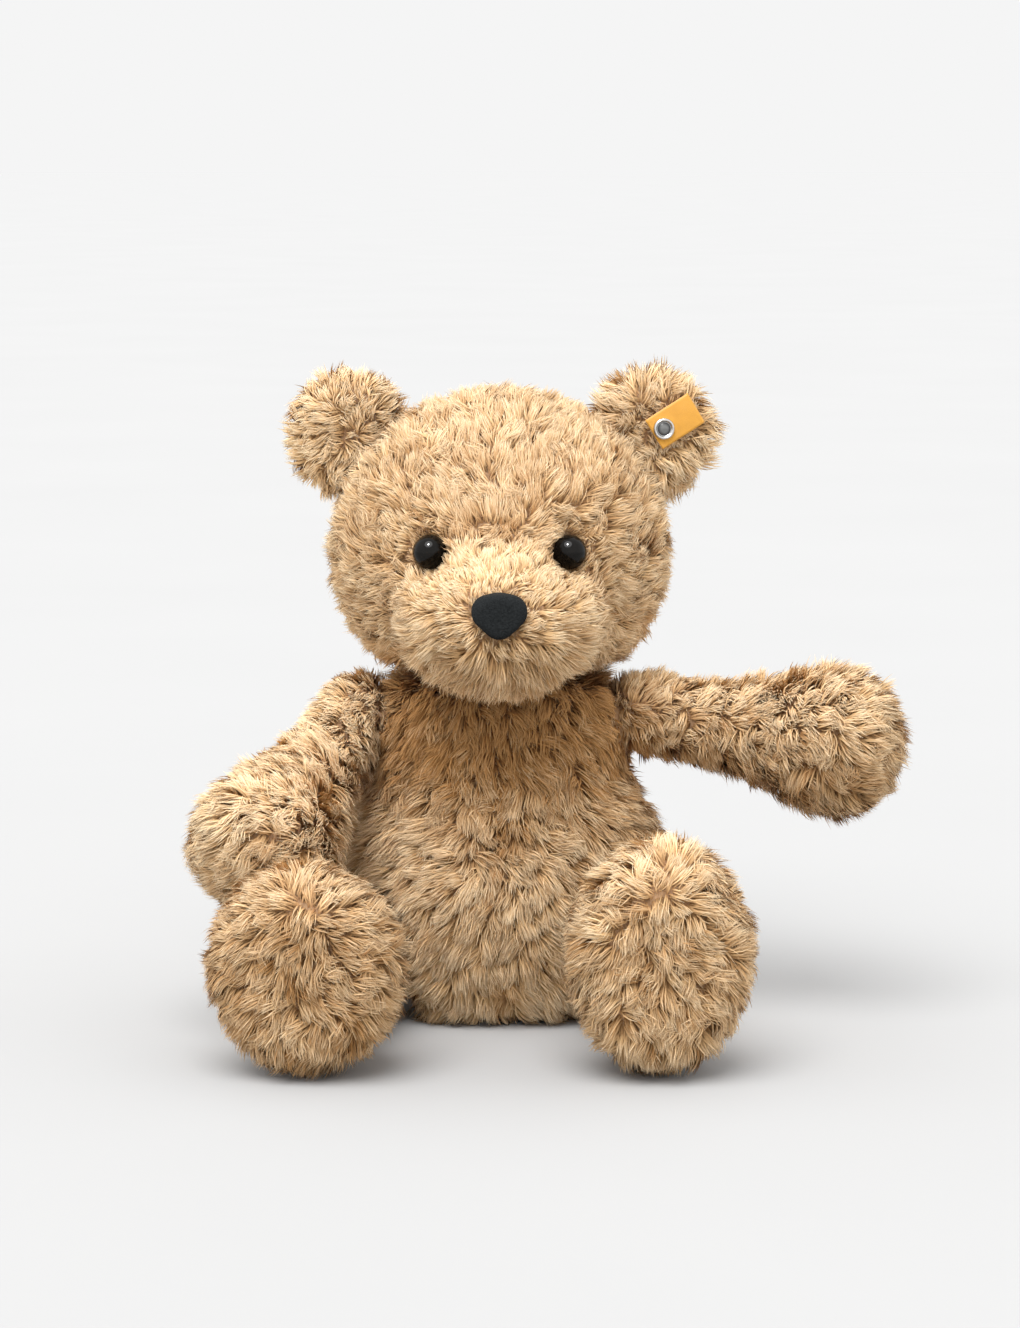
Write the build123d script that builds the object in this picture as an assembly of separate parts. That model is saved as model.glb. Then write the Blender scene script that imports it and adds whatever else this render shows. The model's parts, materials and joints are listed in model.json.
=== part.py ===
from build123d import *
import os
from math import cos, radians, sin

# Jointed teddy bear, sitting. Millimetres, +Z up, the face looks along -Y, and +X is the bear's own left.
# The origin is the middle of the torso's underside, on the floor.
# A cover is a plush shell: its outer face is the tips of the pile, its inner face the fabric's back.

SIDES = {"left": 1, "right": -1}
FAR = 800.0                 # larger than the bear

WALL = 8.0                  # plush cover, backing and pile together
STUFFING_GAP = 0.4          # stuffing stands this far inside its cover
BODY_GAP = 0.6              # between covers that move against each other
RUNNING_GAP = 0.05          # radial, shaft in a bore that turns
LOOSE_GAP = 0.4             # radial, shaft through fabric
DISC_GAP = 0.4              # between a cover's inner face and the disc behind it
END_GAP = 0.1               # between a disc and the nut or pin head that holds it
HARDWARE_ROOM = 1.0         # between hardware and the stuffing hollowed round it
LATITUDES = [-84, -70, -54, -36, -18, 0, 18, 36, 54, 70, 84]    # of a lofted ellipsoid's sections

# Torso: half-widths and heights of its outline from the front
TORSO_TOP = 152.0
TORSO_BASE_RADIUS = 52.0
TORSO_TOP_RADIUS = 43.0
TORSO_OUTLINE = [(67, 10), (76, 32), (76.5, 60), (62, 96), (53.5, 124), (48.5, 146)]
TORSO_DEPTH_RATIO = 0.78
TORSO_CENTRE_Y = -2.0

# Head
HEAD_CENTRE = (0, 0, 203.0)
HEAD_SEMIS = (75.5, 64.0, 72.0)
HEAD_BOTTOM = TORSO_TOP + BODY_GAP
CHIN_CLEAR_RADIUS = 53.0    # the chin hangs below the neck line only outside this radius
GUSSET_HALF_WIDTH = 25.0
MUZZLE_CENTRE = (0, -62.0, 180.0)
MUZZLE_SEMIS = (46.0, 40.0, 34.0)
MUZZLE_SEAM_MARGIN = 1.5    # the muzzle panel's seam lies this far outside the muzzle's own form

# Eyes and nose
EYE_CENTRE = (29.5, -54.0, 207.5)
EYE_RADIUS = 7.4
EYE_TURN = 20.0             # degrees that each eye looks outward
EYE_BACK = 2.0              # from the eye's centre back to its flat rear
EYE_STEM_RADIUS = 1.8
EYE_STEM_LENGTH = 12.0
NOSE_CENTRE = (0, -101.0, 186.0)
NOSE_SEMIS = (12.6, 8.0, 11.5)
NOSE_CORNERS = [(-4.9, 2.0), (0.0, 2.9), (4.9, 2.0), (0.0, -2.6)]
NOSE_CORNER_RADIUS = 6.8
NOSE_DEPTH = 12.0
NOSE_STEM_RADIUS = 2.0
NOSE_STEM_LENGTH = 15.0
WASHER_RADIUS = 5.5
WASHER_THICKNESS = 1.5

# Ears
EAR_CENTRE = (66.0, 5.0, 253.0)
EAR_RADIUS = 28.0
EAR_HALF_DEPTH = 12.0
EAR_TURN = 12.0             # degrees that each ear's cup looks outward
EAR_CUP_SEMIS = (20.0, 20.0, 6.0)
EAR_CUP_CENTRE = 13.0
BUTTON_OFFSET = (3.0, 3.0)  # right of and above the ear's centre, seen from the front
BUTTON_RADIUS = 4.7
BUTTON_THICKNESS = 1.6
RIVET_RADIUS = 1.2
TAG_FRONT = 11.0            # from the ear's middle plane forward to the tag's front
TAG_LENGTH = 22.0
TAG_WIDTH = 15.0
TAG_THICKNESS = 0.8
TAG_TILT = 32.0             # degrees that the tag rises away from the button
TAG_SETBACK = 5.0           # the tag starts this far behind the button's centre

# Arms
SHOULDER = (62.0, -3.0, 131.0)
SHOULDER_ROOM = 28.5        # radius of the hollow in the torso round a shoulder's centre
ARM_DIRECTION = {"left": (0.973, -0.198, -0.117), "right": (-0.430, -0.720, -0.545)}
ARM_DOME = 18.5
ARM_OUTLINE = [(28, 18.5), (55, 23.0), (84, 34.0)]
ARM_LENGTH = 117.0
ARM_TILT_RANGE = (3.0, 66.5)  # degrees between the arm and the axis it swivels about, with a margin

# Legs
HIP = (56.0, -20.0, 28.0)
LEG_SPLAY = {"left": 5.0, "right": 11.8}
LEG_RADIUS = 27.0
LEG_FLAT = 20.0             # from the leg's middle line to its flat inner side
FOOT_DISTANCE = 112.0       # from the hip to the foot's centre
FOOT_SEMIS = {"left": (41.0, 51.5, 28.0), "right": (44.0, 46.0, 28.0)}
FOOT_STATIONS = [(-1.0, 0.5), (-0.8, 0.76), (-0.4, 0.95), (0.0, 1.0), (0.4, 0.96), (0.8, 0.8), (1.0, 0.55)]
FOOT_PRESS = 1.0            # the floor flattens each foot by this much
SOLE_DEPTH = 17.0           # the sole panel's depth, back from the tip of the foot

# Joint hardware
DISC_THICKNESS = 2.5
NUT_RADIUS = 6.0
NUT_THICKNESS = 3.0
PIN_RADIUS = 3.0
PIN_HEAD_THICKNESS = 2.0
THREAD_END = 1.4            # a pin's end stands this far out of its nut
NECK_DISC_RADIUS = 18.0
SHOULDER_DISC_RADIUS = 11.0
HIP_DISC_RADIUS = 16.0
LEG_DISC_RADIUS = 13.0
ARM_DISC_RADIUS = 9.8
ARM_DISC_DISTANCE = 16.0    # from the shoulder's centre, along the arm
LINK_RADIUS = 3.2
FORK_RADIUS = 3.6
FORK_CHEEK = 2.0
FORK_BASE = (6.0, 8.5)      # from the shoulder's centre to the two faces of the fork's base
TONGUE_THICKNESS = 3.0
TONGUE_SIDE_GAP = 0.2
CROSS_PIN_RADIUS = 1.5
CROSS_PIN_HEAD = (2.4, 0.8)   # radius and thickness

UPWARD = (Align.CENTER, Align.CENTER, Align.MIN)
DOWNWARD = (Align.CENTER, Align.CENTER, Align.MAX)


def ellipsoid(centre, semis):
    """An ellipsoid with its half-axes along X, Y and Z."""
    return Pos(*centre) * scale(Sphere(10), by=tuple(s / 10 for s in semis))


def lofted_ellipsoid(centre, semis):
    """An ellipsoid through its level sections, with small flats at its top and bottom."""
    across, deep, tall = semis
    sections = []
    for latitude in LATITUDES:
        share = cos(radians(latitude))
        level = Pos(*centre) * Pos(0, 0, tall * sin(radians(latitude)))
        sections.append(level * Ellipse(share * across, share * deep))
    return loft(sections)


def inset_semis(semis, inset):
    """Half-axes, each less by inset."""
    return tuple(s - inset for s in semis)


def rod(start, direction, radius, length):
    """A cylinder from a start point along a direction."""
    return Plane(origin=start, z_dir=direction).location * Cylinder(radius, length, align=UPWARD)


def stage_rod(frame, radius, start, end):
    """A cylinder along a frame's own x, between two places on it."""
    turned = Rot(0, 90, 0) * Cylinder(radius, end - start, align=UPWARD)
    return frame.location * (Pos(start, 0, 0) * turned)


def beyond(point, normal):
    """A block that fills the side of a plane that its normal points to."""
    return Plane(origin=point, z_dir=normal).location * Box(FAR, FAR, FAR, align=UPWARD)


def write(name, shape):
    """One STEP file for each piece, or for each group of like pieces."""
    solids = shape.solids()
    export_step(solids[0] if len(solids) == 1 else Compound(children=solids), f"parts/{name}.step")


def placed(point, side):
    """A point given on the bear's left, for either side."""
    return (point[0] * SIDES[side], point[1], point[2])


def outward(side):
    """Unit vector away from the bear's middle."""
    return (float(SIDES[side]), 0.0, 0.0)


def inward(side):
    """Unit vector towards the bear's middle."""
    return (-float(SIDES[side]), 0.0, 0.0)


def arm_frame(side):
    """At the shoulder: z along the arm, x along the axis that the arm tilts about."""
    direction = Vector(*ARM_DIRECTION[side]).normalized()
    tilt_axis = Vector(*outward(side)).cross(direction).normalized()
    return Plane(origin=placed(SHOULDER, side), x_dir=tilt_axis, z_dir=direction)


def link_frame(side):
    """At the shoulder: z along the link towards the torso, x along the axis that the arm tilts about."""
    return Plane(origin=placed(SHOULDER, side), x_dir=arm_frame(side).x_dir, z_dir=inward(side))


def leg_frame(side):
    """At the hip: x along the hip's axis away from the torso, z straight up, for either side."""
    splay = radians(LEG_SPLAY[side])
    axis = (SIDES[side] * cos(splay), sin(splay), 0)
    return Plane(origin=placed(HIP, side), x_dir=axis, z_dir=(0, 0, 1))


def forward_sign(side):
    """Which way along a leg frame's own y the leg points."""
    return -SIDES[side]


# ------------------------------------------------------------------ torso

def torso_form(inset):
    """The torso without its hollows, its skin moved in by inset."""
    ends = [(TORSO_BASE_RADIUS, 0), *TORSO_OUTLINE, (TORSO_TOP_RADIUS, TORSO_TOP)]
    squeeze = 1 - 2 * inset / TORSO_TOP
    sections = [
        Pos(0, TORSO_CENTRE_Y, inset + height * squeeze)
        * Ellipse(half_width - inset, TORSO_DEPTH_RATIO * half_width - inset)
        for half_width, height in ends
    ]
    return loft(sections)


def hip_pocket(side, grow):
    """Room beside the torso in which a leg swings from forward to straight down."""
    radius = LEG_RADIUS + 1.0 + grow
    ahead = forward_sign(side)
    y_away = Align.MIN if ahead > 0 else Align.MAX
    barrel = Rot(0, 90, 0) * Cylinder(radius, FAR, align=UPWARD)
    front = Box(FAR, FAR, radius, align=(Align.MIN, y_away, Align.MIN))
    low = Pos(0, -ahead * radius, 0) * Box(FAR, FAR, FAR, align=(Align.MIN, y_away, Align.MAX))
    wall = -(LEG_FLAT + BODY_GAP + grow)
    return leg_frame(side).location * (Pos(wall, 0, 0) * (barrel + front + low))


def torso_solid(inset):
    """The torso with hollows at shoulders and hips, its skin moved in by inset."""
    solid = torso_form(inset)
    for side in SIDES:
        shoulder = Pos(*placed(SHOULDER, side)) * Sphere(SHOULDER_ROOM + inset)
        solid = solid - shoulder - hip_pocket(side, inset)
    return solid


def torso_cover():
    """The torso's panels: a base, and left and right halves of front and back."""
    shell = torso_solid(0) - torso_solid(WALL)
    for side in SIDES:
        shell -= rod(placed(SHOULDER, side), inward(side), LINK_RADIUS + LOOSE_GAP,
                     SHOULDER_ROOM + 2 * WALL)
        shell -= stage_rod(leg_frame(side), PIN_RADIUS + LOOSE_GAP, -LEG_FLAT - 2 * WALL, 0)
    shell -= rod((0, 0, TORSO_TOP - 2 * WALL), (0, 0, 1), PIN_RADIUS + LOOSE_GAP, 3 * WALL)
    write("torso_base", shell & beyond((0, 0, WALL), (0, 0, -1)))
    upper = shell & beyond((0, 0, WALL), (0, 0, 1))
    for face, ahead in {"front": -1, "back": 1}.items():
        half = upper & beyond((0, TORSO_CENTRE_Y, 0), (0, ahead, 0))
        for side in SIDES:
            write(f"torso_{face}_{side}", half & beyond((0, 0, 0), outward(side)))


def torso_stuffing():
    """The torso's filling, hollowed round the joints' discs and nuts."""
    filling = torso_solid(WALL + STUFFING_GAP)
    behind_disc = WALL + DISC_THICKNESS + NUT_THICKNESS + 4.0
    for side in SIDES:
        filling -= rod(placed(SHOULDER, side), inward(side), SHOULDER_DISC_RADIUS + HARDWARE_ROOM,
                       SHOULDER_ROOM + behind_disc)
        filling -= stage_rod(leg_frame(side), HIP_DISC_RADIUS + HARDWARE_ROOM,
                             -LEG_FLAT - behind_disc, 0)
    filling -= rod((0, 0, TORSO_TOP - behind_disc), (0, 0, 1), NECK_DISC_RADIUS + HARDWARE_ROOM,
                   behind_disc)
    write("torso_stuffing", filling)


# ------------------------------------------------------------------ head

def head_solid(inset):
    """Skull and muzzle in one, cut flat at the neck, its skin moved in by inset."""
    floor = HEAD_BOTTOM + inset
    skull = lofted_ellipsoid(HEAD_CENTRE, inset_semis(HEAD_SEMIS, inset)) & beyond((0, 0, floor), (0, 0, 1))
    muzzle = lofted_ellipsoid(MUZZLE_CENTRE, inset_semis(MUZZLE_SEMIS, inset))
    neck = Pos(0, 0, floor) * Cylinder(CHIN_CLEAR_RADIUS + inset, FAR, align=DOWNWARD)
    return skull + muzzle - neck


def eye_frame(side):
    """At an eye's centre: z out of the face."""
    turn = radians(EYE_TURN)
    return Plane(origin=placed(EYE_CENTRE, side), z_dir=(SIDES[side] * sin(turn), -cos(turn), 0))


def nose_form(grow):
    """A rounded triangle, wide at its top, domed at the front."""
    circles = [Pos(x, y) * Circle(NOSE_CORNER_RADIUS + grow) for x, y in NOSE_CORNERS]
    edges = [edge for circle in circles for edge in circle.edges()]
    prism = extrude(Plane.XZ * make_hull(edges), NOSE_DEPTH / 2, both=True)
    return (Pos(*NOSE_CENTRE) * prism) & ellipsoid(NOSE_CENTRE, inset_semis(NOSE_SEMIS, -grow))


def head_cover():
    """The head's panels: a muzzle, a gusset over the middle and two sides."""
    shell = head_solid(0) - head_solid(WALL)
    shell -= rod((0, 0, HEAD_BOTTOM - 1), (0, 0, 1), PIN_RADIUS + LOOSE_GAP, 2 * WALL)
    shell -= rod(NOSE_CENTRE, (0, 1, 0), NOSE_STEM_RADIUS, NOSE_STEM_LENGTH + WALL)
    shell -= nose_form(0)
    for side in SIDES:
        socket = Pos(0, 0, -EYE_BACK) * Cylinder(EYE_RADIUS, FAR, align=UPWARD)
        stem = Cylinder(EYE_STEM_RADIUS, 2 * EYE_STEM_LENGTH + 2 * WALL)
        shell -= eye_frame(side).location * (socket + stem)
    zone = lofted_ellipsoid(MUZZLE_CENTRE, inset_semis(MUZZLE_SEMIS, -MUZZLE_SEAM_MARGIN))
    write("muzzle_cover", shell & zone)
    skull = shell - zone
    write("head_gusset", skull & (Pos(*HEAD_CENTRE) * Box(2 * GUSSET_HALF_WIDTH, FAR, FAR)))
    for side in SIDES:
        edge = (SIDES[side] * GUSSET_HALF_WIDTH, 0, 0)
        write(f"head_side_{side}", skull & beyond(edge, outward(side)))


def head_stuffing():
    """The head's filling, hollowed round the neck's disc and the washers of eyes and nose."""
    filling = head_solid(WALL + STUFFING_GAP)
    above_disc = WALL + DISC_THICKNESS + PIN_HEAD_THICKNESS + 4.0
    filling -= rod((0, 0, HEAD_BOTTOM), (0, 0, 1), NECK_DISC_RADIUS + HARDWARE_ROOM, above_disc)
    filling -= rod(NOSE_CENTRE, (0, 1, 0), WASHER_RADIUS + HARDWARE_ROOM, NOSE_STEM_LENGTH + 3)
    for side in SIDES:
        room = Cylinder(WASHER_RADIUS + HARDWARE_ROOM, 2 * (EYE_BACK + EYE_STEM_LENGTH + 1))
        filling -= eye_frame(side).location * room
    write("head_stuffing", filling)


def eyes():
    """Two domed safety eyes on stems, and the lock washers behind the cover."""
    washers = []
    for side in SIDES:
        place = eye_frame(side).location
        dome = Sphere(EYE_RADIUS) & beyond((0, 0, -EYE_BACK), (0, 0, 1))
        stem = Pos(0, 0, -EYE_BACK) * Cylinder(EYE_STEM_RADIUS, EYE_STEM_LENGTH, align=DOWNWARD)
        write(f"eye_{side}", place * (dome + stem))
        ring = Cylinder(WASHER_RADIUS, WASHER_THICKNESS) - Cylinder(EYE_STEM_RADIUS, WASHER_THICKNESS)
        washers += (place * (Pos(0, 0, -EYE_BACK - EYE_STEM_LENGTH + 1) * ring)).solids()
    write("eye_washers", Compound(children=washers))


def nose():
    """The nose on its stem, and its lock washer."""
    stem = rod(NOSE_CENTRE, (0, 1, 0), NOSE_STEM_RADIUS, NOSE_STEM_LENGTH)
    write("nose", nose_form(0) + stem)
    start = (NOSE_CENTRE[0], NOSE_CENTRE[1] + NOSE_STEM_LENGTH - 2, NOSE_CENTRE[2])
    ring = rod(start, (0, 1, 0), WASHER_RADIUS, WASHER_THICKNESS)
    write("nose_washer", ring - rod(start, (0, 1, 0), NOSE_STEM_RADIUS, WASHER_THICKNESS))


# ------------------------------------------------------------------ ears

def ear_frame(side):
    """At an ear's centre: z out of the ear's cup, y straight up."""
    turn = radians(EAR_TURN)
    x_dir = (cos(turn), SIDES[side] * sin(turn), 0)
    return Plane(origin=placed(EAR_CENTRE, side), x_dir=x_dir, z_dir=(SIDES[side] * sin(turn), -cos(turn), 0))


def ears():
    """Two cupped ears, each a front and a back panel sewn to the head."""
    skull = lofted_ellipsoid(HEAD_CENTRE, HEAD_SEMIS)
    form = ellipsoid((0, 0, 0), (EAR_RADIUS, EAR_RADIUS, EAR_HALF_DEPTH))
    form -= ellipsoid((0, 0, EAR_CUP_CENTRE), EAR_CUP_SEMIS)
    for side in SIDES:
        whole = form
        if side == "left":
            whole = form - Pos(*BUTTON_OFFSET, 0) * Cylinder(RIVET_RADIUS, FAR)
        for face, ahead in {"front": 1, "back": -1}.items():
            panel = whole & beyond((0, 0, 0), (0, 0, ahead))
            write(f"ear_{face}_{side}", ear_frame(side).location * panel - skull)


def ear_button_and_tag():
    """A small riveted button on the left ear, and the woven tag that it holds."""
    place = ear_frame("left").location * Pos(*BUTTON_OFFSET, 0)
    shank = Pos(0, 0, -EAR_HALF_DEPTH) * Cylinder(RIVET_RADIUS, EAR_HALF_DEPTH + TAG_FRONT, align=UPWARD)
    cap = Cylinder(BUTTON_RADIUS, BUTTON_THICKNESS, align=UPWARD)
    cap = chamfer(cap.edges().filter_by(GeomType.CIRCLE).sort_by(Axis.Z)[-1], BUTTON_THICKNESS / 2)
    back = Pos(0, 0, -EAR_HALF_DEPTH) * Cylinder(BUTTON_RADIUS, BUTTON_THICKNESS, align=DOWNWARD)
    write("ear_button", place * (shank + Pos(0, 0, TAG_FRONT) * cap + back))
    strip = Pos(-TAG_SETBACK, 0, TAG_FRONT) * Box(
        TAG_LENGTH, TAG_WIDTH, TAG_THICKNESS, align=(Align.MIN, Align.CENTER, Align.MAX))
    write("ear_tag", place * (Rot(0, 0, TAG_TILT) * strip - Cylinder(RIVET_RADIUS, FAR)))


# ------------------------------------------------------------------ arms

def arm_form(inset):
    """An arm along +z with its round shoulder at the origin, its skin moved in by inset."""
    dome = ARM_DOME - inset
    tip = (0, ARM_LENGTH - inset)
    points = [(dome, 0)] + [(r - inset, z) for z, r in ARM_OUTLINE] + [tip]
    outline = Spline(*points, tangents=[(0, 1), (-1, 0)])
    cap = RadiusArc((0, -dome), (dome, 0), -dome)
    closing = Line(tip, (0, -dome))
    return revolve(make_face(Plane.XZ * (cap + outline + closing)), Axis.Z)


def link_slot():
    """The slot in an arm's shoulder through which the link reaches it at every tilt."""
    least, most = ARM_TILT_RANGE
    width = LINK_RADIUS + BODY_GAP
    reach = 2 * ARM_DOME

    def point(tilt):
        return (-reach * sin(radians(tilt)), -reach * cos(radians(tilt)))

    wedge = make_face(Plane.YZ * Polyline((0, 0), point(least), point((least + most) / 2), point(most), (0, 0)))
    slot = extrude(wedge, width, both=True)
    for tilt in ARM_TILT_RANGE:
        y, z = point(tilt)
        slot += rod((0, 0, 0), (0, y / reach, z / reach), width, reach)
    return slot


def arms():
    """Each arm's outer and inner panel, and its filling beyond the joint's disc."""
    slot = link_slot()
    shell = arm_form(0) - arm_form(WALL) - slot
    filling_start = ARM_DISC_DISTANCE + DISC_THICKNESS + HARDWARE_ROOM
    filling = arm_form(WALL + STUFFING_GAP) & beyond((0, 0, filling_start), (0, 0, 1))
    for side in SIDES:
        place = arm_frame(side).location
        write(f"arm_outer_{side}", place * (shell & beyond((0, 0, 0), (0, 1, 0))))
        write(f"arm_inner_{side}", place * (shell & beyond((0, 0, 0), (0, -1, 0))))
        write(f"arm_stuffing_{side}", place * filling)


# ------------------------------------------------------------------ legs

def leg_tube(side, inset):
    """The leg from its round hip into the foot, flat on the torso's side, its skin moved in by inset."""
    radius = LEG_RADIUS - inset
    ahead = forward_sign(side)
    tube = Rot(-90 * ahead, 0, 0) * Cylinder(radius, FOOT_DISTANCE, align=UPWARD)
    return (Sphere(radius) + tube) & beyond((-LEG_FLAT + inset, 0, 0), (1, 0, 0))


def foot_form(side, inset):
    """A foot, taller than it is long, flattened where it stands on the floor."""
    across, tall, deep = inset_semis(FOOT_SEMIS[side], inset)
    height = FOOT_SEMIS[side][1] - FOOT_PRESS - HIP[2]
    sections = []
    for offset, share in FOOT_STATIONS:
        centre = (0, forward_sign(side) * (FOOT_DISTANCE + offset * deep), height)
        station = Plane(origin=centre, x_dir=(1, 0, 0), z_dir=(0, 1, 0))
        sections.append(station * Ellipse(share * across, share * tall))
    return loft(sections) & beyond((0, 0, -HIP[2]), (0, 0, 1))


def legs():
    """Each leg's cover, its foot's cover, the sole panel and the filling."""
    for side in SIDES:
        place = leg_frame(side).location
        foot = foot_form(side, 0)
        opening = leg_tube(side, WALL)
        hole = Rot(0, 90, 0) * Cylinder(PIN_RADIUS + LOOSE_GAP, 2 * LEG_FLAT, align=DOWNWARD)
        write(f"leg_cover_{side}", place * (leg_tube(side, 0) - opening - foot - hole))
        hollow = foot_form(side, WALL) + opening
        ahead = forward_sign(side)
        seam = (0, ahead * (FOOT_DISTANCE + FOOT_SEMIS[side][2] - SOLE_DEPTH), 0)
        write(f"foot_cover_{side}", place * ((foot & beyond(seam, (0, -ahead, 0))) - hollow))
        write(f"foot_sole_{side}", place * ((foot & beyond(seam, (0, ahead, 0))) - hollow))
        inset = WALL + STUFFING_GAP
        room = Rot(0, 90, 0) * Cylinder(LEG_DISC_RADIUS + HARDWARE_ROOM, LEG_FLAT, align=DOWNWARD)
        write(f"leg_stuffing_{side}", place * (leg_tube(side, inset) + foot_form(side, inset) - room))


# ------------------------------------------------------------------ joint hardware

def disc(frame, radius, bore, start):
    """A joint disc on a frame's own x, its nearer face at start."""
    end = start + DISC_THICKNESS
    return stage_rod(frame, radius, start, end) - stage_rod(frame, bore, start, end)


def headed_pin(frame, far_face, near_face):
    """A pin on a frame's own x: headed beyond far_face, and threaded past a nut beyond near_face."""
    end = near_face - END_GAP - NUT_THICKNESS
    head = stage_rod(frame, NUT_RADIUS, far_face + END_GAP, far_face + END_GAP + PIN_HEAD_THICKNESS)
    return stage_rod(frame, PIN_RADIUS, end - THREAD_END, far_face + END_GAP) + head


def nut(frame, radius, near_face):
    """The nut that locks a pin or link from inside the torso."""
    end = near_face - END_GAP
    start = end - NUT_THICKNESS
    return stage_rod(frame, NUT_RADIUS, start, end) - stage_rod(frame, radius, start, end)


def torso_joint(prefix, suffix, frame, wall_face, moving_wall_face, radii):
    """Disc, pin and nut held by the torso, and the disc that turns in the head or leg."""
    torso_radius, moving_radius = radii
    near = wall_face - WALL - DISC_GAP - DISC_THICKNESS
    far = moving_wall_face + WALL + DISC_GAP
    write(f"{prefix}_torso_disc{suffix}", disc(frame, torso_radius, PIN_RADIUS, near))
    write(f"{prefix}_moving_disc{suffix}", disc(frame, moving_radius, PIN_RADIUS + RUNNING_GAP, far))
    write(f"{prefix}_pin{suffix}", headed_pin(frame, far + DISC_THICKNESS, near))
    write(f"{prefix}_nut{suffix}", nut(frame, PIN_RADIUS, near))


def neck_and_hip_joints():
    """The discs, pins and nuts of the neck and of both hips."""
    neck = Plane(origin=(0, 0, 0), x_dir=(0, 0, 1), z_dir=(1, 0, 0))
    torso_joint("neck", "", neck, TORSO_TOP, HEAD_BOTTOM, (NECK_DISC_RADIUS, NECK_DISC_RADIUS))
    for side in SIDES:
        torso_joint("hip", f"_{side}", leg_frame(side), -LEG_FLAT - BODY_GAP, -LEG_FLAT,
                    (HIP_DISC_RADIUS, LEG_DISC_RADIUS))


def shoulder_link(side):
    """The shaft that swivels in the torso, with a fork at the shoulder's centre."""
    base_start, base_end = FORK_BASE
    slit = TONGUE_THICKNESS / 2 + TONGUE_SIDE_GAP
    outer = slit + FORK_CHEEK
    base = Box(2 * outer, 2 * FORK_RADIUS, base_end - base_start, align=UPWARD)
    fork = Pos(0, 0, base_start) * base
    for edge in (-outer, slit):
        round_end = Rot(0, 90, 0) * Cylinder(FORK_RADIUS, FORK_CHEEK, align=UPWARD)
        cheek = Pos(FORK_CHEEK / 2, 0, 0) * Box(FORK_CHEEK, 2 * FORK_RADIUS, base_end, align=UPWARD)
        fork += Pos(edge, 0, 0) * (round_end + cheek)
    fork -= Rot(0, 90, 0) * Cylinder(CROSS_PIN_RADIUS, 4 * outer)
    disc_back = SHOULDER_ROOM + WALL + DISC_GAP + DISC_THICKNESS
    shaft_end = disc_back + END_GAP + NUT_THICKNESS + THREAD_END
    shaft = Pos(0, 0, base_end) * Cylinder(LINK_RADIUS, shaft_end - base_end, align=UPWARD)
    return link_frame(side).location * (fork + shaft)


def cross_pin(side):
    """The riveted pin through the fork, on which the arm's tongue tilts."""
    radius, thickness = CROSS_PIN_HEAD
    outer = TONGUE_THICKNESS / 2 + TONGUE_SIDE_GAP + FORK_CHEEK
    pin = Cylinder(CROSS_PIN_RADIUS, 2 * outer)
    pin += Pos(0, 0, outer) * Cylinder(radius, thickness, align=UPWARD)
    pin += Pos(0, 0, -outer) * Cylinder(radius, thickness, align=DOWNWARD)
    return link_frame(side).location * (Rot(0, 90, 0) * pin)


def arm_disc(side):
    """The disc in an arm, with the tongue that sits in the link's fork."""
    tongue = Rot(0, 90, 0) * Cylinder(FORK_RADIUS, TONGUE_THICKNESS)
    tongue += Box(TONGUE_THICKNESS, 2 * FORK_RADIUS, ARM_DISC_DISTANCE, align=UPWARD)
    tongue += Pos(0, 0, ARM_DISC_DISTANCE) * Cylinder(ARM_DISC_RADIUS, DISC_THICKNESS, align=UPWARD)
    tongue -= Rot(0, 90, 0) * Cylinder(CROSS_PIN_RADIUS + RUNNING_GAP, 2 * TONGUE_THICKNESS)
    return arm_frame(side).location * tongue


def shoulder_joints():
    """The hardware of both shoulders: each arm swivels on its link and tilts on its cross pin."""
    for side in SIDES:
        inwards = Plane(origin=placed(SHOULDER, side), x_dir=inward(side), z_dir=(0, 0, 1))
        near = SHOULDER_ROOM + WALL + DISC_GAP
        back = near + DISC_THICKNESS + END_GAP
        ring = stage_rod(inwards, NUT_RADIUS, back, back + NUT_THICKNESS)
        ring -= stage_rod(inwards, LINK_RADIUS, back, back + NUT_THICKNESS)
        write(f"shoulder_torso_disc_{side}",
              disc(inwards, SHOULDER_DISC_RADIUS, LINK_RADIUS + RUNNING_GAP, near))
        write(f"shoulder_link_{side}", shoulder_link(side))
        write(f"shoulder_nut_{side}", ring)
        write(f"shoulder_cross_pin_{side}", cross_pin(side))
        write(f"arm_disc_{side}", arm_disc(side))


os.makedirs("parts", exist_ok=True)
torso_cover()
torso_stuffing()
head_cover()
head_stuffing()
eyes()
nose()
ears()
ear_button_and_tag()
arms()
legs()
neck_and_hip_joints()
shoulder_joints()
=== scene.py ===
import json
import math

import bmesh
import bpy
import numpy as np
from mathutils import Matrix, Vector, kdtree, noise


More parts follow.
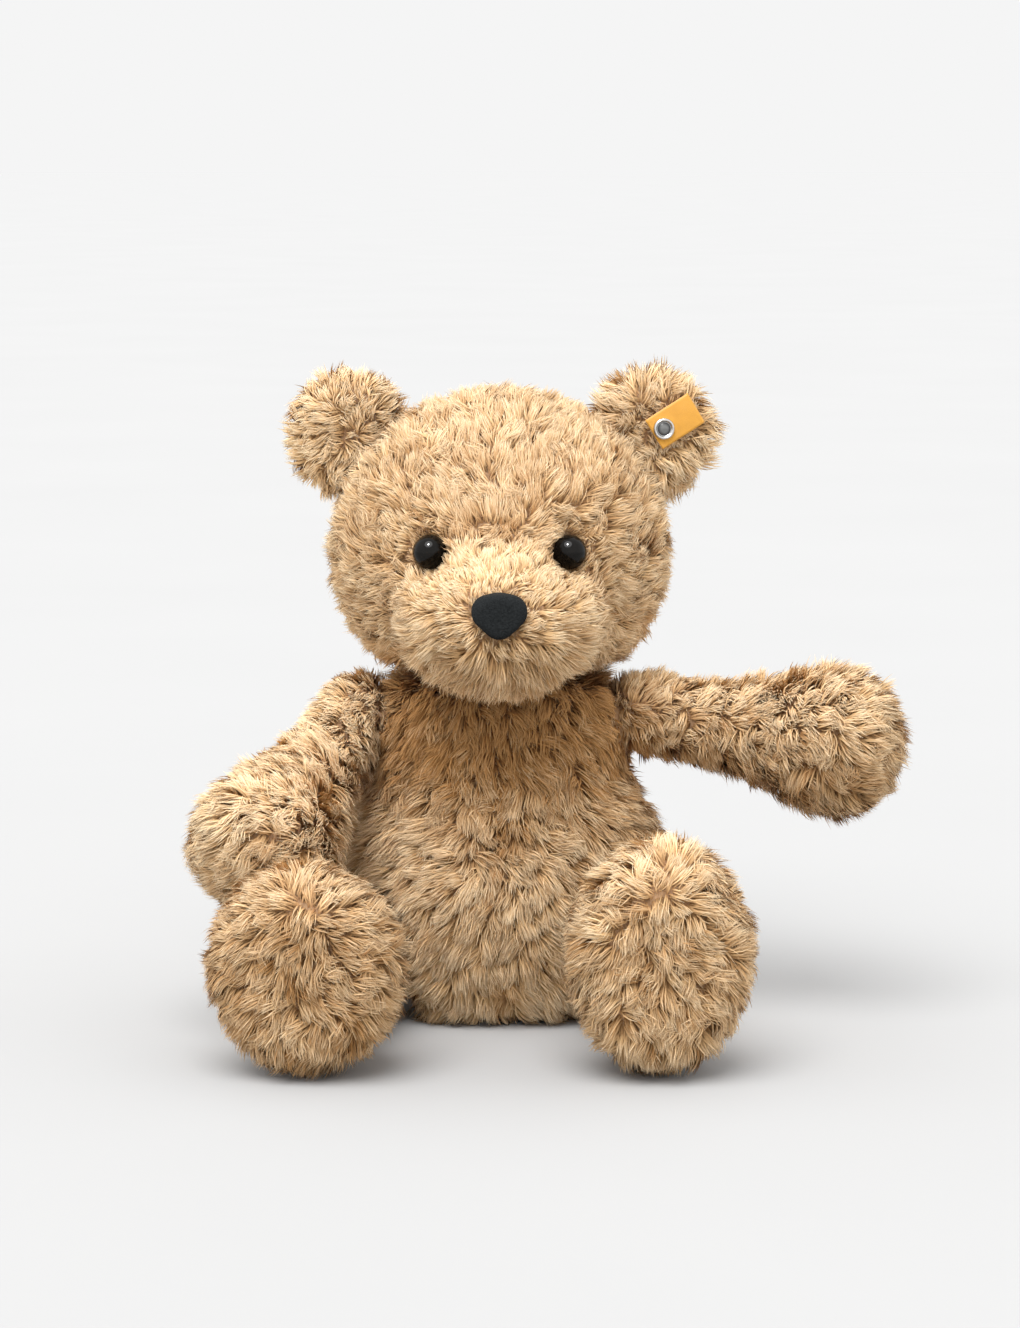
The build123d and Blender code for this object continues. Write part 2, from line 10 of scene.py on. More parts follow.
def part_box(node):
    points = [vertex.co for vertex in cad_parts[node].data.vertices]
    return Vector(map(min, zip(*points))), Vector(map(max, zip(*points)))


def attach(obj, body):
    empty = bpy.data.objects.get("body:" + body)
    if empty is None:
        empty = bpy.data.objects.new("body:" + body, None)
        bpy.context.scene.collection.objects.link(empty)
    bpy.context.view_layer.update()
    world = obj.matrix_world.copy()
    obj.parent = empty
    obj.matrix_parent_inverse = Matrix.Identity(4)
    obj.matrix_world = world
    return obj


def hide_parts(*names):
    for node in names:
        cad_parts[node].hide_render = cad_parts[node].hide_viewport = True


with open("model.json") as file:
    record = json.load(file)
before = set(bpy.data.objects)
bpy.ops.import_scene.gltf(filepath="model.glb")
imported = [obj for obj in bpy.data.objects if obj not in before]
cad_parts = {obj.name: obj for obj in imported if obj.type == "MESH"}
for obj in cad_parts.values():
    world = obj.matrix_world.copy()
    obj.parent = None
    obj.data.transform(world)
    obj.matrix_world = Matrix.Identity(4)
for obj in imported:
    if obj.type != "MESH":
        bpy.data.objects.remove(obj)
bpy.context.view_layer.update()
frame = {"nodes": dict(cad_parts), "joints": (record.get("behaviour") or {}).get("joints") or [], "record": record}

# Jointed teddy bear. Metres, in the CAD frame: +Z up, the face looks along -Y, +X is the bear's own left.
# Each stuffed section is one sewn skin, puffed out by a cloth simulation, with a pile of real strands on it.

MM = 0.001
SIDES = {"left": 1, "right": -1}
RNG_SEED = 7

# Skins
VOXEL = 4.0 * MM
PRESSURE = 4.0
CLOTH_STIFFNESS = 8.0
SIM_FRAMES = 20
PUFF_CAP = 3.0 * MM          # how far the pressure may move a point of a fully stuffed skin
SEAM_HALF_WIDTH = 2.6 * MM   # skin this near a seam is held by its stitches
SHOULDER_PAD = ((0.047, 0.0, 0.126), (0.021, 0.024, 0.021))   # centre and semi-axes, on the left
ARM_END = (0.0175, 0.0175, 0.0175)                            # semi-axes of an arm's round end
EAR_ROOT = (0.020, 0.0095, 0.020)                             # semi-axes of the part sunk in the head
EAR_ROOT_PLACE = (0.78, 0.242)                                # X as a share of the ear's, and height
BASE_HEIGHT = 0.006          # the torso's skin is held flat below this
STUFFING = {"head": 0.8, "torso": 0.7, "ear": 0.3, "arm": 0.7, "leg": 0.7}   # 1 is fully stuffed
SKIN_INSET = {"torso": 5.5 * MM, "ear": 3.5 * MM, "leg": 8.0 * MM}           # room for the pile

# Pile
STRANDS_PER_MM2 = 1.8
MM2_PER_M2 = 1e6
MOST_STRANDS = 39000         # in one piece, 5 triangles each
TINTS = 32                   # columns of colour across the pile's UV layer
STEPS = 3                    # straight runs in a strand
TAPER = (1.0, 0.95, 0.62)    # a strand's width where each run starts
STRAND_WIDTH = 0.62 * MM
LOCK_SPACING = 5.2 * MM
LOCK_PULL = 0.46             # how far a strand's tip is drawn to its lock's tip
TIP_CROWDING = 0.25          # a lock's width at its tip, as a share of its width at the root
LOCK_BULGE = 0.45            # how far shading normals spread across a lock, so that it looks round
SHADING_LEAN = 0.10          # how far they lean the way the strand is combed
FRIZZ = 0.55 * MM            # how far a strand's tip strays at random
FLOOR_CLEARANCE = 0.4 * MM

# How much locks and strands vary: ranges as shares, leans in radians, and the spread of normal draws
LOCK_LENGTHS = (0.75, 1.15)
STRAND_LENGTHS = (0.62, 1.12)
STRAND_WIDTHS = (0.7, 1.25)
ROOT_LEANS = (0.15, 0.75)
TIP_LEANS = (0.90, 1.75)
LEAN_SPREAD = 0.20
LOCK_WANDER = 0.52
STRAND_WANDER = 0.38
STRAND_TILT = 0.5
LOCK_TINT_SPREAD = 0.11
STRAND_TINT_SPREAD = 0.15
SHADING_SPREAD = 0.20
WANDER_PATCHES = (60.0, 1.3)     # scale and strength of the smooth patches in the locks' wander
TINT_PATCHES = (110.0, 0.28)     # and in their tint

# Each section's pile: its length, its tint from 0 (brown) to 1 (cream), how far its locks stray from the
# comb's direction, and how far apart they are where that isn't LOCK_SPACING
HEAD_PILE = {"length": 10.5 * MM, "tint": 0.56, "tousle": 1.25}
TORSO_PILE = {"length": 12.5 * MM, "tint": 0.56, "tousle": 0.72, "spacing": 6.0 * MM}
EAR_PILE = {"tint": 0.95, "tousle": 1.2, "spacing": 5.0 * MM}
EAR_PILE_LENGTH = {"left": 12.0 * MM, "right": 10.0 * MM}
ARM_PILE = {"length": 11.5 * MM, "tousle": 1.15}
# Painted light: the right arm, on the key light's side, is tinted paler than the left, which is tinted darker as
# painted shade.
ARM_TINT_WITH_PAINTED_LIGHT = {"left": 0.54, "right": 0.75}
LEG_PILE = {"length": 11.0 * MM, "tousle": 1.3}
LEG_TINT = {"left": 0.50, "right": 0.40}

# Places where the pile changes. A mark is a place seen from the front, and its narrowing along X and Z.
# Painted shade in the brow: a darker band in the crease between the eyes, above the muzzle.
BROW_CREASE_SHADE = ((0.002, 0.0, 0.2135), (0.55, 1.3))
CHEST_DART = ((0.0, 0.0, 0.082), (1, 1.4))
EYE_NARROWING = (1.30, 1.0)
MUZZLE = (0.034, 0.060)        # distances from the nose over which the muzzle's pile becomes the head's
NOSE_CLEAR = (0.0125, 0.0150)  # no pile nearer than the first, full pile past the second
EYE_CLEAR = (0.0056, 0.0068)
SHOULDER_CLEAR = (0.0175, 0.0190)
SKULL_PARTING = (0.0, -0.090, 0.150)   # the pile over the brow is combed away from here
SOLE_RADIUS = 0.045
FAR = 10.0                     # added to the distance of points on the back

# Colour along a strand, from root to tip
PILE_BROWN = ((0.0, (0.15, 0.055, 0.014)), (0.5, (0.36, 0.165, 0.047)), (1.0, (0.57, 0.31, 0.115)))
PILE_CREAM = ((0.0, (0.44, 0.225, 0.080)), (0.5, (0.86, 0.57, 0.285)), (1.0, (0.99, 0.83, 0.580)))

# Small parts
NOSE_VOXEL = 0.8 * MM
NOSE_ROUNDING = 14           # rounds of smoothing
TAG_FLAT = (0.015, 0.022)    # width and length of the doubled ribbon
TAG_THICKNESS = 0.7 * MM
TAG_ROWS, TAG_COLUMNS = 15, 22
TAG_BOW = 1.6 * MM           # how far the tag bends off the ear along its length
TAG_DROOP = 0.6 * MM
TAG_CUP = 0.35 * MM          # how far it bends across its width
TAG_WEAVE_SCALE = 666.67
TAG_ORANGES = ((0.56, 0.235, 0.008), (0.88, 0.44, 0.030))
BUTTON_HEIGHT = 2.4 * MM
BUTTON_SEGMENTS = 48
BUTTON_CAP = (               # (radius, height from the top) as shares of the button's radius and height
    (0.0, 0.0), (0.22, -0.03), (0.42, -0.14), (0.56, -0.30), (0.64, -0.36), (0.70, -0.30),
    (0.76, -0.08), (0.84, 0.0), (0.92, -0.05), (0.985, -0.20), (1.0, -0.42), (0.96, -0.60))
BUTTON_SHANK = ((0.33, -0.62), (0.33, 0.5))   # its upper end from the top, its lower end from the back
BUTTON_BACK = ((0.96, 0.5), (1.0, 0.3), (0.9, 0.05), (0.0, 0.0))   # the same, from the back
# Painted shade: the near-black grey darkens the recess inside the rim; the middle is a darker grey and the rim
# pale.
BUTTON_GREYS_WITH_RECESS_SHADE = ((0.30, (0.22, 0.22, 0.215)), (0.60, (0.05, 0.05, 0.05)), (0.74, (0.62, 0.61, 0.59)))

# Studio
CAMERA_DISTANCE = 1.65
CAMERA_ELEVATION = math.radians(8.0)
CAMERA_TARGET = Vector((0.0044, 0.0, 0.152))
VIEW_HEIGHT = 0.5843         # of the picture, at the target
SENSOR_WIDTH = 36.0
FLOOR_SIZE = 40.0
STUDIO_WHITE = 0.913         # radiance of the floor and of the surround, so that they merge
FLOOR_ALBEDO = 0.45
FLOOR_GRAIN = 0.004
FILL = 1.22
KEY_AZIMUTH = math.radians(-16.0)   # from the front, negative to the viewer's left
KEY_ELEVATION = math.radians(60.0)
KEY_SOFTNESS = math.radians(45.0)
CATCHLIGHT_WATTS = 200.0     # only gloss shows this light: the spark in the eyes and on the button
CATCHLIGHT_RADIUS = 0.10


# ------------------------------------------------------------------ meshes and pieces

def new_object(name, data):
    """An object in the scene."""
    obj = bpy.data.objects.new(name, data)
    bpy.context.scene.collection.objects.link(obj)
    return obj


def finished_mesh(name, gather):
    """A mesh from a bmesh, which is freed."""
    mesh = bpy.data.meshes.new(name)
    gather.to_mesh(mesh)
    gather.free()
    return mesh


# ------------------------------------------------------------------ materials

def new_material(name, roughness=0.5, **sockets):
    """A material with one Principled shader, and that shader."""
    material = bpy.data.materials.new(name)
    material.use_nodes = True
    shader = material.node_tree.nodes["Principled BSDF"]
    shader.inputs["Roughness"].default_value = roughness
    for socket, value in sockets.items():
        shader.inputs[socket.replace("_", " ")].default_value = value
    return material, shader


def ramp_node(tree, stops):
    """A colour ramp with (place, colour) stops."""
    node = tree.nodes.new("ShaderNodeValToRGB")
    elements = node.color_ramp.elements
    while len(elements) > 1:
        elements.remove(elements[-1])
    elements[0].position, elements[0].color = stops[0][0], (*stops[0][1], 1)
    for place, colour in stops[1:]:
        elements.new(place).color = (*colour, 1)
    return node


def pile_material():
    """Plush pile: dark at the root and pale at the tip. Each strand has its own tint, brown to cream."""
    material, shader = new_material("plush_pile", roughness=0.75)
    shader.inputs["Sheen Weight"].default_value = 0.08
    shader.inputs["Sheen Roughness"].default_value = 0.4
    shader.inputs["Sheen Tint"].default_value = (1.0, 0.82, 0.62, 1)
    shader.inputs["Specular IOR Level"].default_value = 0.22
    tree = material.node_tree
    place = tree.nodes.new("ShaderNodeUVMap")
    place.uv_map = "OFBake"
    split = tree.nodes.new("ShaderNodeSeparateXYZ")
    tree.links.new(place.outputs["UV"], split.inputs[0])
    brown, cream = ramp_node(tree, PILE_BROWN), ramp_node(tree, PILE_CREAM)
    for ramp in (brown, cream):
        tree.links.new(split.outputs["Y"], ramp.inputs["Fac"])
    mix = tree.nodes.new("ShaderNodeMix")
    mix.data_type = "RGBA"
    tree.links.new(split.outputs["X"], mix.inputs["Factor"])
    tree.links.new(brown.outputs["Color"], mix.inputs["A"])
    tree.links.new(cream.outputs["Color"], mix.inputs["B"])
    tree.links.new(mix.outputs["Result"], shader.inputs["Base Color"])
    return material


def backing_material():
    """The knitted backing under the pile: brown fibres, and faint rows as relief."""
    material, shader = new_material("plush_backing", roughness=0.95)
    tree = material.node_tree
    coordinates = tree.nodes.new("ShaderNodeTexCoord")
    fibres = tree.nodes.new("ShaderNodeTexNoise")
    fibres.inputs["Scale"].default_value = 420.0
    fibres.inputs["Detail"].default_value = 6.0
    rows = tree.nodes.new("ShaderNodeTexWave")
    rows.inputs["Scale"].default_value = 160.0
    rows.inputs["Distortion"].default_value = 2.5
    tint = ramp_node(tree, [(0.25, (0.24, 0.125, 0.055)), (0.75, (0.48, 0.29, 0.15))])
    tree.links.new(coordinates.outputs["Object"], fibres.inputs["Vector"])
    tree.links.new(coordinates.outputs["Object"], rows.inputs["Vector"])
    tree.links.new(fibres.outputs["Fac"], tint.inputs["Fac"])
    tree.links.new(tint.outputs["Color"], shader.inputs["Base Color"])
    bump = tree.nodes.new("ShaderNodeBump")
    bump.inputs["Strength"].default_value = 0.6
    bump.inputs["Distance"].default_value = 0.0006
    tree.links.new(rows.outputs["Fac"], bump.inputs["Height"])
    tree.links.new(bump.outputs["Normal"], shader.inputs["Normal"])
    return material


def speckled_material(name, dark, light, scale, roughness, bump_depth=0.0, **sockets):
    """A surface whose colour and height vary with fine noise."""
    material, shader = new_material(name, roughness=roughness, **sockets)
    tree = material.node_tree
    coordinates = tree.nodes.new("ShaderNodeTexCoord")
    grain = tree.nodes.new("ShaderNodeTexNoise")
    grain.inputs["Scale"].default_value = scale
    grain.inputs["Detail"].default_value = 5.0
    tint = ramp_node(tree, [(0.3, dark), (0.7, light)])
    tree.links.new(coordinates.outputs["Object"], grain.inputs["Vector"])
    tree.links.new(grain.outputs["Fac"], tint.inputs["Fac"])
    tree.links.new(tint.outputs["Color"], shader.inputs["Base Color"])
    if bump_depth:
        bump = tree.nodes.new("ShaderNodeBump")
        bump.inputs["Strength"].default_value = 0.8
        bump.inputs["Distance"].default_value = bump_depth
        tree.links.new(grain.outputs["Fac"], bump.inputs["Height"])
        tree.links.new(bump.outputs["Normal"], shader.inputs["Normal"])
    return material


def woven_material(name, dark, light, scale):
    """Woven ribbon: threads that cross in colour and height."""
    material, shader = new_material(name, roughness=0.55)
    shader.inputs["Sheen Weight"].default_value = 0.3
    tree = material.node_tree
    coordinates = tree.nodes.new("ShaderNodeTexCoord")
    waves = []
    for direction in ("X", "Z"):
        wave = tree.nodes.new("ShaderNodeTexWave")
        wave.bands_direction = direction
        wave.inputs["Scale"].default_value = scale
        wave.inputs["Distortion"].default_value = 0.6
        tree.links.new(coordinates.outputs["Object"], wave.inputs["Vector"])
        waves.append(wave)
    product = tree.nodes.new("ShaderNodeMath")
    product.operation = "MULTIPLY"
    for index, wave in enumerate(waves):
        tree.links.new(wave.outputs["Fac"], product.inputs[index])
    tint = ramp_node(tree, [(0.0, dark), (0.6, light)])
    tree.links.new(product.outputs[0], tint.inputs["Fac"])
    tree.links.new(tint.outputs["Color"], shader.inputs["Base Color"])
    bump = tree.nodes.new("ShaderNodeBump")
    bump.inputs["Strength"].default_value = 0.5
    bump.inputs["Distance"].default_value = 0.0002
    tree.links.new(product.outputs[0], bump.inputs["Height"])
    tree.links.new(bump.outputs["Normal"], shader.inputs["Normal"])
    return material


PILE = pile_material()
BACKING = backing_material()


# ------------------------------------------------------------------ skins

def joined_copy(name, nodes):
    """One mesh with the faces of several CAD nodes."""
    gather = bmesh.new()
    for node in nodes:
        gather.from_mesh(frame["nodes"][node].data)
    return new_object(name, finished_mesh(name, gather))


def add_ellipsoid(obj, centre, semis):
    """Adds an ellipsoid's faces to a piece, for the remesh to melt in."""
    gather = bmesh.new()
    gather.from_mesh(obj.data)
    place = Matrix.Translation(centre) @ Matrix.Diagonal((*semis, 1))
    bmesh.ops.create_icosphere(gather, subdivisions=4, radius=1.0, matrix=place)
    gather.to_mesh(obj.data)
    gather.free()


def apply_modifiers(obj):
    """Replaces a piece's mesh by the evaluated one."""
    graph = bpy.context.evaluated_depsgraph_get()
    mesh = bpy.data.meshes.new_from_object(obj.evaluated_get(graph))
    old = obj.data
    obj.modifiers.clear()
    obj.data = mesh
    bpy.data.meshes.remove(old)


def remesh(obj, voxel):
    """Melts a piece's overlapping closed parts into one closed skin."""
    modifier = obj.modifiers.new("remesh", "REMESH")
    modifier.mode = "VOXEL"
    modifier.voxel_size = voxel
    modifier.use_smooth_shade = True
    apply_modifiers(obj)


def smooth(obj, rounds):
    """Evens out the voxel steps."""
    modifier = obj.modifiers.new("smooth", "SMOOTH")
    modifier.factor = 0.5
    modifier.iterations = rounds
    apply_modifiers(obj)


def coordinates_of(mesh):
    """Vertex coordinates as an array."""
    flat = np.empty(len(mesh.vertices) * 3, np.float32)
    mesh.vertices.foreach_get("co", flat)
    return flat.reshape(-1, 3)


def normals_of(mesh):
    """Vertex normals as an array."""
    flat = np.empty(len(mesh.vertices) * 3, np.float32)
    mesh.vertex_normals.foreach_get("vector", flat)
    return flat.reshape(-1, 3)


def set_coordinates(mesh, points):
    """Writes vertex coordinates back."""
    mesh.vertices.foreach_set("co", np.ascontiguousarray(points, np.float32).ravel())
    mesh.update()


def outer_shell_only(obj):
    """Drops inner walls, keeping the connected part that is largest seen from the front."""
    gather = bmesh.new()
    gather.from_mesh(obj.data)
    unseen = set(gather.verts)
    best, best_size = None, -1.0
    while unseen:
        stack = [unseen.pop()]
        part = set(stack)
        while stack:
            for edge in stack.pop().link_edges:
                for vertex in edge.verts:
                    if vertex in unseen:
                        unseen.discard(vertex)
                        part.add(vertex)
                        stack.append(vertex)
        heights = [vertex.co.z for vertex in part]
        widths = [vertex.co.x for vertex in part]
        size = (max(heights) - min(heights)) * (max(widths) - min(widths))
        if size > best_size:
            best, best_size = part, size
    inner = [vertex for vertex in gather.verts if vertex not in best]
    bmesh.ops.delete(gather, geom=inner, context="VERTS")
    gather.to_mesh(obj.data)
    gather.free()


def puff(obj, on_seam, fill):
    """Blows the skin out between its seams with a short cloth simulation, and keeps the result."""
    start = coordinates_of(obj.data)
    group = obj.vertex_groups.new(name="seams")
    group.add([int(i) for i in np.nonzero(on_seam(start))[0]], 1.0, "REPLACE")
    cloth = obj.modifiers.new("cloth", "CLOTH")
    settings = cloth.settings
    settings.use_pressure = True
    settings.uniform_pressure_force = PRESSURE
    settings.effector_weights.gravity = 0.0
    settings.vertex_group_mass = "seams"
    settings.quality = 4
    settings.tension_stiffness = settings.compression_stiffness = CLOTH_STIFFNESS
    cloth.collision_settings.use_collision = False
    cloth.point_cache.frame_start = 1
    cloth.point_cache.frame_end = SIM_FRAMES
    scene = bpy.context.scene
    for step in range(1, SIM_FRAMES + 1):
        scene.frame_set(step)
    apply_modifiers(obj)
    scene.frame_set(1)
    moved = coordinates_of(obj.data) - start
    distance = np.linalg.norm(moved, axis=1, keepdims=True)
    moved *= np.minimum(1.0, PUFF_CAP * fill / np.maximum(distance, 1e-9))
    set_coordinates(obj.data, start + moved)
    obj.vertex_groups.clear()


def panel_seam(first, second):
    """A test for points by the seam between two panels: those near the plane halfway between the two."""
    one, other = np.array(node_centre(first)), np.array(node_centre(second))
    across = (one - other) / np.linalg.norm(one - other)

    def on_seam(points):
        return np.abs((points - (one + other) / 2) @ across) < SEAM_HALF_WIDTH

    return on_seam


def make_skin(section, body, nodes, inset, fill, on_seam, extra=(), rounds=6):
    """The sewn skin of one stuffed section: its CAD nodes melted together, moved inwards and puffed."""
    obj = joined_copy(f"skin_{section}", nodes)
    for centre, semis in extra:
        add_ellipsoid(obj, centre, semis)
    remesh(obj, VOXEL)
    outer_shell_only(obj)
    smooth(obj, rounds)
    points = coordinates_of(obj.data)
    depth = inset(points) if callable(inset) else inset
    depth = np.broadcast_to(np.asarray(depth, np.float32), (len(points),))
    set_coordinates(obj.data, points - normals_of(obj.data) * depth[:, None])
    puff(obj, on_seam, fill)
    smooth(obj, 1)
    subdivision = obj.modifiers.new("round", "SUBSURF")
    subdivision.levels = subdivision.render_levels = 1
    apply_modifiers(obj)
    points = coordinates_of(obj.data)
    points[:, 2] = np.maximum(points[:, 2], FLOOR_CLEARANCE)
    set_coordinates(obj.data, points)
    obj.data.shade_smooth()
    obj.data.materials.clear()
    obj.data.materials.append(BACKING)
    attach(obj, body)
    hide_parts(*nodes)
    return obj


# ------------------------------------------------------------------ pile

def unit(vectors):
    """Vectors scaled to length 1."""
    return vectors / np.maximum(np.linalg.norm(vectors, axis=-1, keepdims=True), 1e-9)


def tangential(vectors, normals):
    """The part of each vector that lies along the surface, at length 1."""
    flat = vectors - normals * (vectors * normals).sum(-1, keepdims=True)
    return unit(flat)


def turned(vectors, axes, angles):
    """Each vector turned about its own unit axis."""
    cos, sin = np.cos(angles)[:, None], np.sin(angles)[:, None]
    along = axes * (axes * vectors).sum(-1, keepdims=True) * (1 - cos)
    return vectors * cos + np.cross(axes, vectors) * sin + along


def sample_surface(obj, count, rng):
    """Evenly spread random points on a skin, with smooth normals."""
    mesh = obj.data
    mesh.calc_loop_triangles()
    corners = np.empty(len(mesh.loop_triangles) * 3, np.int32)
    mesh.loop_triangles.foreach_get("vertices", corners)
    corners = corners.reshape(-1, 3)
    points, normals = coordinates_of(mesh), normals_of(mesh)
    a, b, c = (points[corners[:, i]] for i in range(3))
    areas = np.linalg.norm(np.cross(b - a, c - a), axis=1) / 2
    picks = rng.choice(len(corners), size=count(areas.sum()), p=areas / areas.sum())
    u, v = rng.random(len(picks)), rng.random(len(picks))
    fold = u + v > 1
    u[fold], v[fold] = 1 - u[fold], 1 - v[fold]
    weights = np.stack([1 - u - v, u, v], 1)[:, :, None]
    at = (points[corners[picks]] * weights).sum(1)
    facing = unit((normals[corners[picks]] * weights).sum(1))
    return at, facing


def lock_centres(points, normals, spacing, rng):
    """One random point in each cell of a slanted grid, so that locks are spread about evenly."""
    slant = np.array(Matrix.Rotation(0.6, 3, "X") @ Matrix.Rotation(0.5, 3, "Y"))
    order = rng.permutation(len(points))
    cells = np.floor(points[order] @ slant / spacing).astype(np.int64)
    _, first = np.unique(cells, axis=0, return_index=True)
    chosen = order[first]
    return points[chosen], normals[chosen]


def nearest(points, centres):
    """For each point, the index of its nearest centre."""
    tree = kdtree.KDTree(len(centres))
    for index, centre in enumerate(centres):
        tree.insert(centre, index)
    tree.balance()
    return np.array([tree.find(p)[1] for p in points], np.int64)


def patches(points, scale, strength):
    """Smooth patches of more and less, from about -strength to strength, smaller at a larger scale."""
    return strength * np.array([noise.noise(Vector(point) * scale) for point in points])


def strand_path(roots, normals, comb, length, lean_start, lean_end):
    """Points along strands that rise from the skin and bend over the way they are combed."""
    rings = [roots]
    for step in range(STEPS):
        share = (step + 0.5) / STEPS
        lean = lean_start + (lean_end - lean_start) * share
        heading = normals * np.cos(lean)[:, None] + comb * np.sin(lean)[:, None]
        rings.append(rings[-1] + heading * (length / STEPS)[:, None])
    return np.stack(rings, 1)


def ribbons(name, rings, sides, shading, tint, widths):
    """A mesh of tapered ribbons, whose UV layer holds each strand's tint and the place along it."""
    count = len(rings)
    verts = np.empty((count, 2 * STEPS + 1, 3), np.float32)
    uvs = np.empty((count, 2 * STEPS + 1, 2), np.float32)
    column = np.clip((tint * TINTS).astype(int), 0, TINTS - 1)
    for step in range(STEPS):
        half = sides * (widths * TAPER[step] / 2)[:, None]
        verts[:, 2 * step] = rings[:, step] - half
        verts[:, 2 * step + 1] = rings[:, step] + half
        uvs[:, 2 * step] = np.stack([(column + 0.1) / TINTS, np.full(count, step / STEPS)], 1)
        uvs[:, 2 * step + 1] = np.stack([(column + 0.9) / TINTS, np.full(count, step / STEPS)], 1)
    verts[:, -1] = rings[:, STEPS]
    uvs[:, -1] = np.stack([(column + 0.5) / TINTS, np.ones(count)], 1)
    verts[:, :, 2] = np.maximum(verts[:, :, 2], FLOOR_CLEARANCE / 2)
    corners = []
    for first in range(0, 2 * STEPS, 2):
        corners += [first, first + 1, first + 3, first + 2]
    corners[-2:] = [2 * STEPS]      # the last run ends in a point
    starts = list(range(0, 4 * STEPS, 4))
    base = np.arange(count, dtype=np.int32)[:, None]
    loops = (base * (2 * STEPS + 1) + np.array(corners, np.int32)).ravel()
    loop_starts = (base * len(corners) + np.array(starts, np.int32)).ravel()
    mesh = bpy.data.meshes.new(name)
    mesh.vertices.add(verts.shape[0] * verts.shape[1])
    mesh.vertices.foreach_set("co", verts.ravel())
    mesh.loops.add(len(loops))
    mesh.loops.foreach_set("vertex_index", loops)
    mesh.polygons.add(len(loop_starts))
    mesh.polygons.foreach_set("loop_start", loop_starts)
    layer = mesh.uv_layers.new(name="OFBake")
    layer.uv.foreach_set("vector", uvs.reshape(-1, 2)[loops].ravel())
    mesh.update(calc_edges=True)
    mesh.shade_smooth()
    normals = np.repeat(shading[:, None, :], 2 * STEPS + 1, 1).reshape(-1, 3)
    mesh.normals_split_custom_set_from_vertices(normals.tolist())
    mesh.materials.append(PILE)
    return new_object(name, mesh)


def rooted_strands(skin, look, rng):
    """Strands' roots on a skin, thinned out where the look says so, with normals and style there."""
    density = STRANDS_PER_MM2 * 1.0
    roots, normals = sample_surface(skin, lambda area: int(area * MM2_PER_M2 * density), rng)
    kept = rng.random(len(roots)) < look(roots, normals)["density"]
    roots, normals = roots[kept], normals[kept]
    return roots, normals, look(roots, normals)


def combed_locks(centres, facing, comb, look, rng):
    """Each lock's direction, length, leans and path."""
    here = look(centres, facing)
    flow = tangential(comb(centres, facing), facing)
    wander = patches(centres, *WANDER_PATCHES) + rng.normal(0, LOCK_WANDER, len(centres))
    flow = turned(flow, facing, here["tousle"] * wander)
    length = here["length"] * rng.uniform(*LOCK_LENGTHS, len(centres))
    root_lean = rng.uniform(*ROOT_LEANS, len(centres))
    tip_lean = rng.uniform(*TIP_LEANS, len(centres))
    path = strand_path(centres, facing, flow, length, root_lean, tip_lean)
    return {"flow": flow, "length": length, "root_lean": root_lean, "tip_lean": tip_lean, "path": path}


def gathered_strands(roots, normals, centres, lock, locks, rng):
    """Strands' paths, drawn towards their lock's path, and their directions at the root."""
    count = len(roots)
    flow = tangential(locks["flow"][lock] + rng.normal(0, STRAND_WANDER, roots.shape), normals)
    length = locks["length"][lock] * rng.uniform(*STRAND_LENGTHS, count)
    root_lean = locks["root_lean"][lock] + rng.normal(0, LEAN_SPREAD, count)
    tip_lean = locks["tip_lean"][lock] + rng.normal(0, LEAN_SPREAD, count)
    rings = strand_path(roots, normals, flow, length, root_lean, tip_lean)
    stray = rng.normal(0, FRIZZ, roots.shape)
    for step in range(1, STEPS + 1):
        pull = LOCK_PULL * (step / STEPS) ** 1.1
        target = locks["path"][lock, step] + (roots - centres[lock]) * TIP_CROWDING
        rings[:, step] = rings[:, step] * (1 - pull) + target * pull + stray * (step / STEPS)
    return rings, flow


def grow_pile(section, body, skin, comb, look, seed):
    """Locks of pile on a skin. look gives their style at points, and comb their direction."""
    rng = np.random.default_rng(RNG_SEED * 100 + seed)
    roots, normals, style = rooted_strands(skin, look, rng)
    centres, facing = lock_centres(roots, normals, style["spacing"], rng)
    lock = nearest(roots, centres)
    locks = combed_locks(centres, facing, comb, look, rng)
    rings, flow = gathered_strands(roots, normals, centres, lock, locks, rng)

    bulge = (roots - centres[lock]) / style["spacing"] * LOCK_BULGE
    shading = unit(normals + bulge + flow * SHADING_LEAN + rng.normal(0, SHADING_SPREAD, roots.shape))
    heading = unit(rings[:, STEPS] - rings[:, 0])
    tilt = rng.normal(0, STRAND_TILT, len(roots))
    sides = turned(unit(np.cross(heading, normals)), heading, tilt)
    lock_tint = rng.normal(0, LOCK_TINT_SPREAD, len(centres)) + patches(centres, *TINT_PATCHES)
    tint = style["tint"] + lock_tint[lock] + rng.normal(0, STRAND_TINT_SPREAD, len(roots))
    tint = np.clip(tint, 0, 0.999)
    widths = STRAND_WIDTH * rng.uniform(*STRAND_WIDTHS, len(roots))

    parts = math.ceil(len(roots) / MOST_STRANDS)
    order = np.argsort(np.arctan2(normals[:, 1], normals[:, 0]), kind="stable")
    for number, chosen in enumerate(np.array_split(order, parts)):
        name = f"pile_{section}" if parts == 1 else f"pile_{section}_{number + 1}"
        piece = ribbons(name, rings[chosen], sides[chosen], shading[chosen], tint[chosen], widths[chosen])
        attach(piece, body)


# ------------------------------------------------------------------ places read from the frame

def node_centre(node):
    """The middle of a CAD node's box."""
    low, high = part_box(node)
    return (low + high) / 2


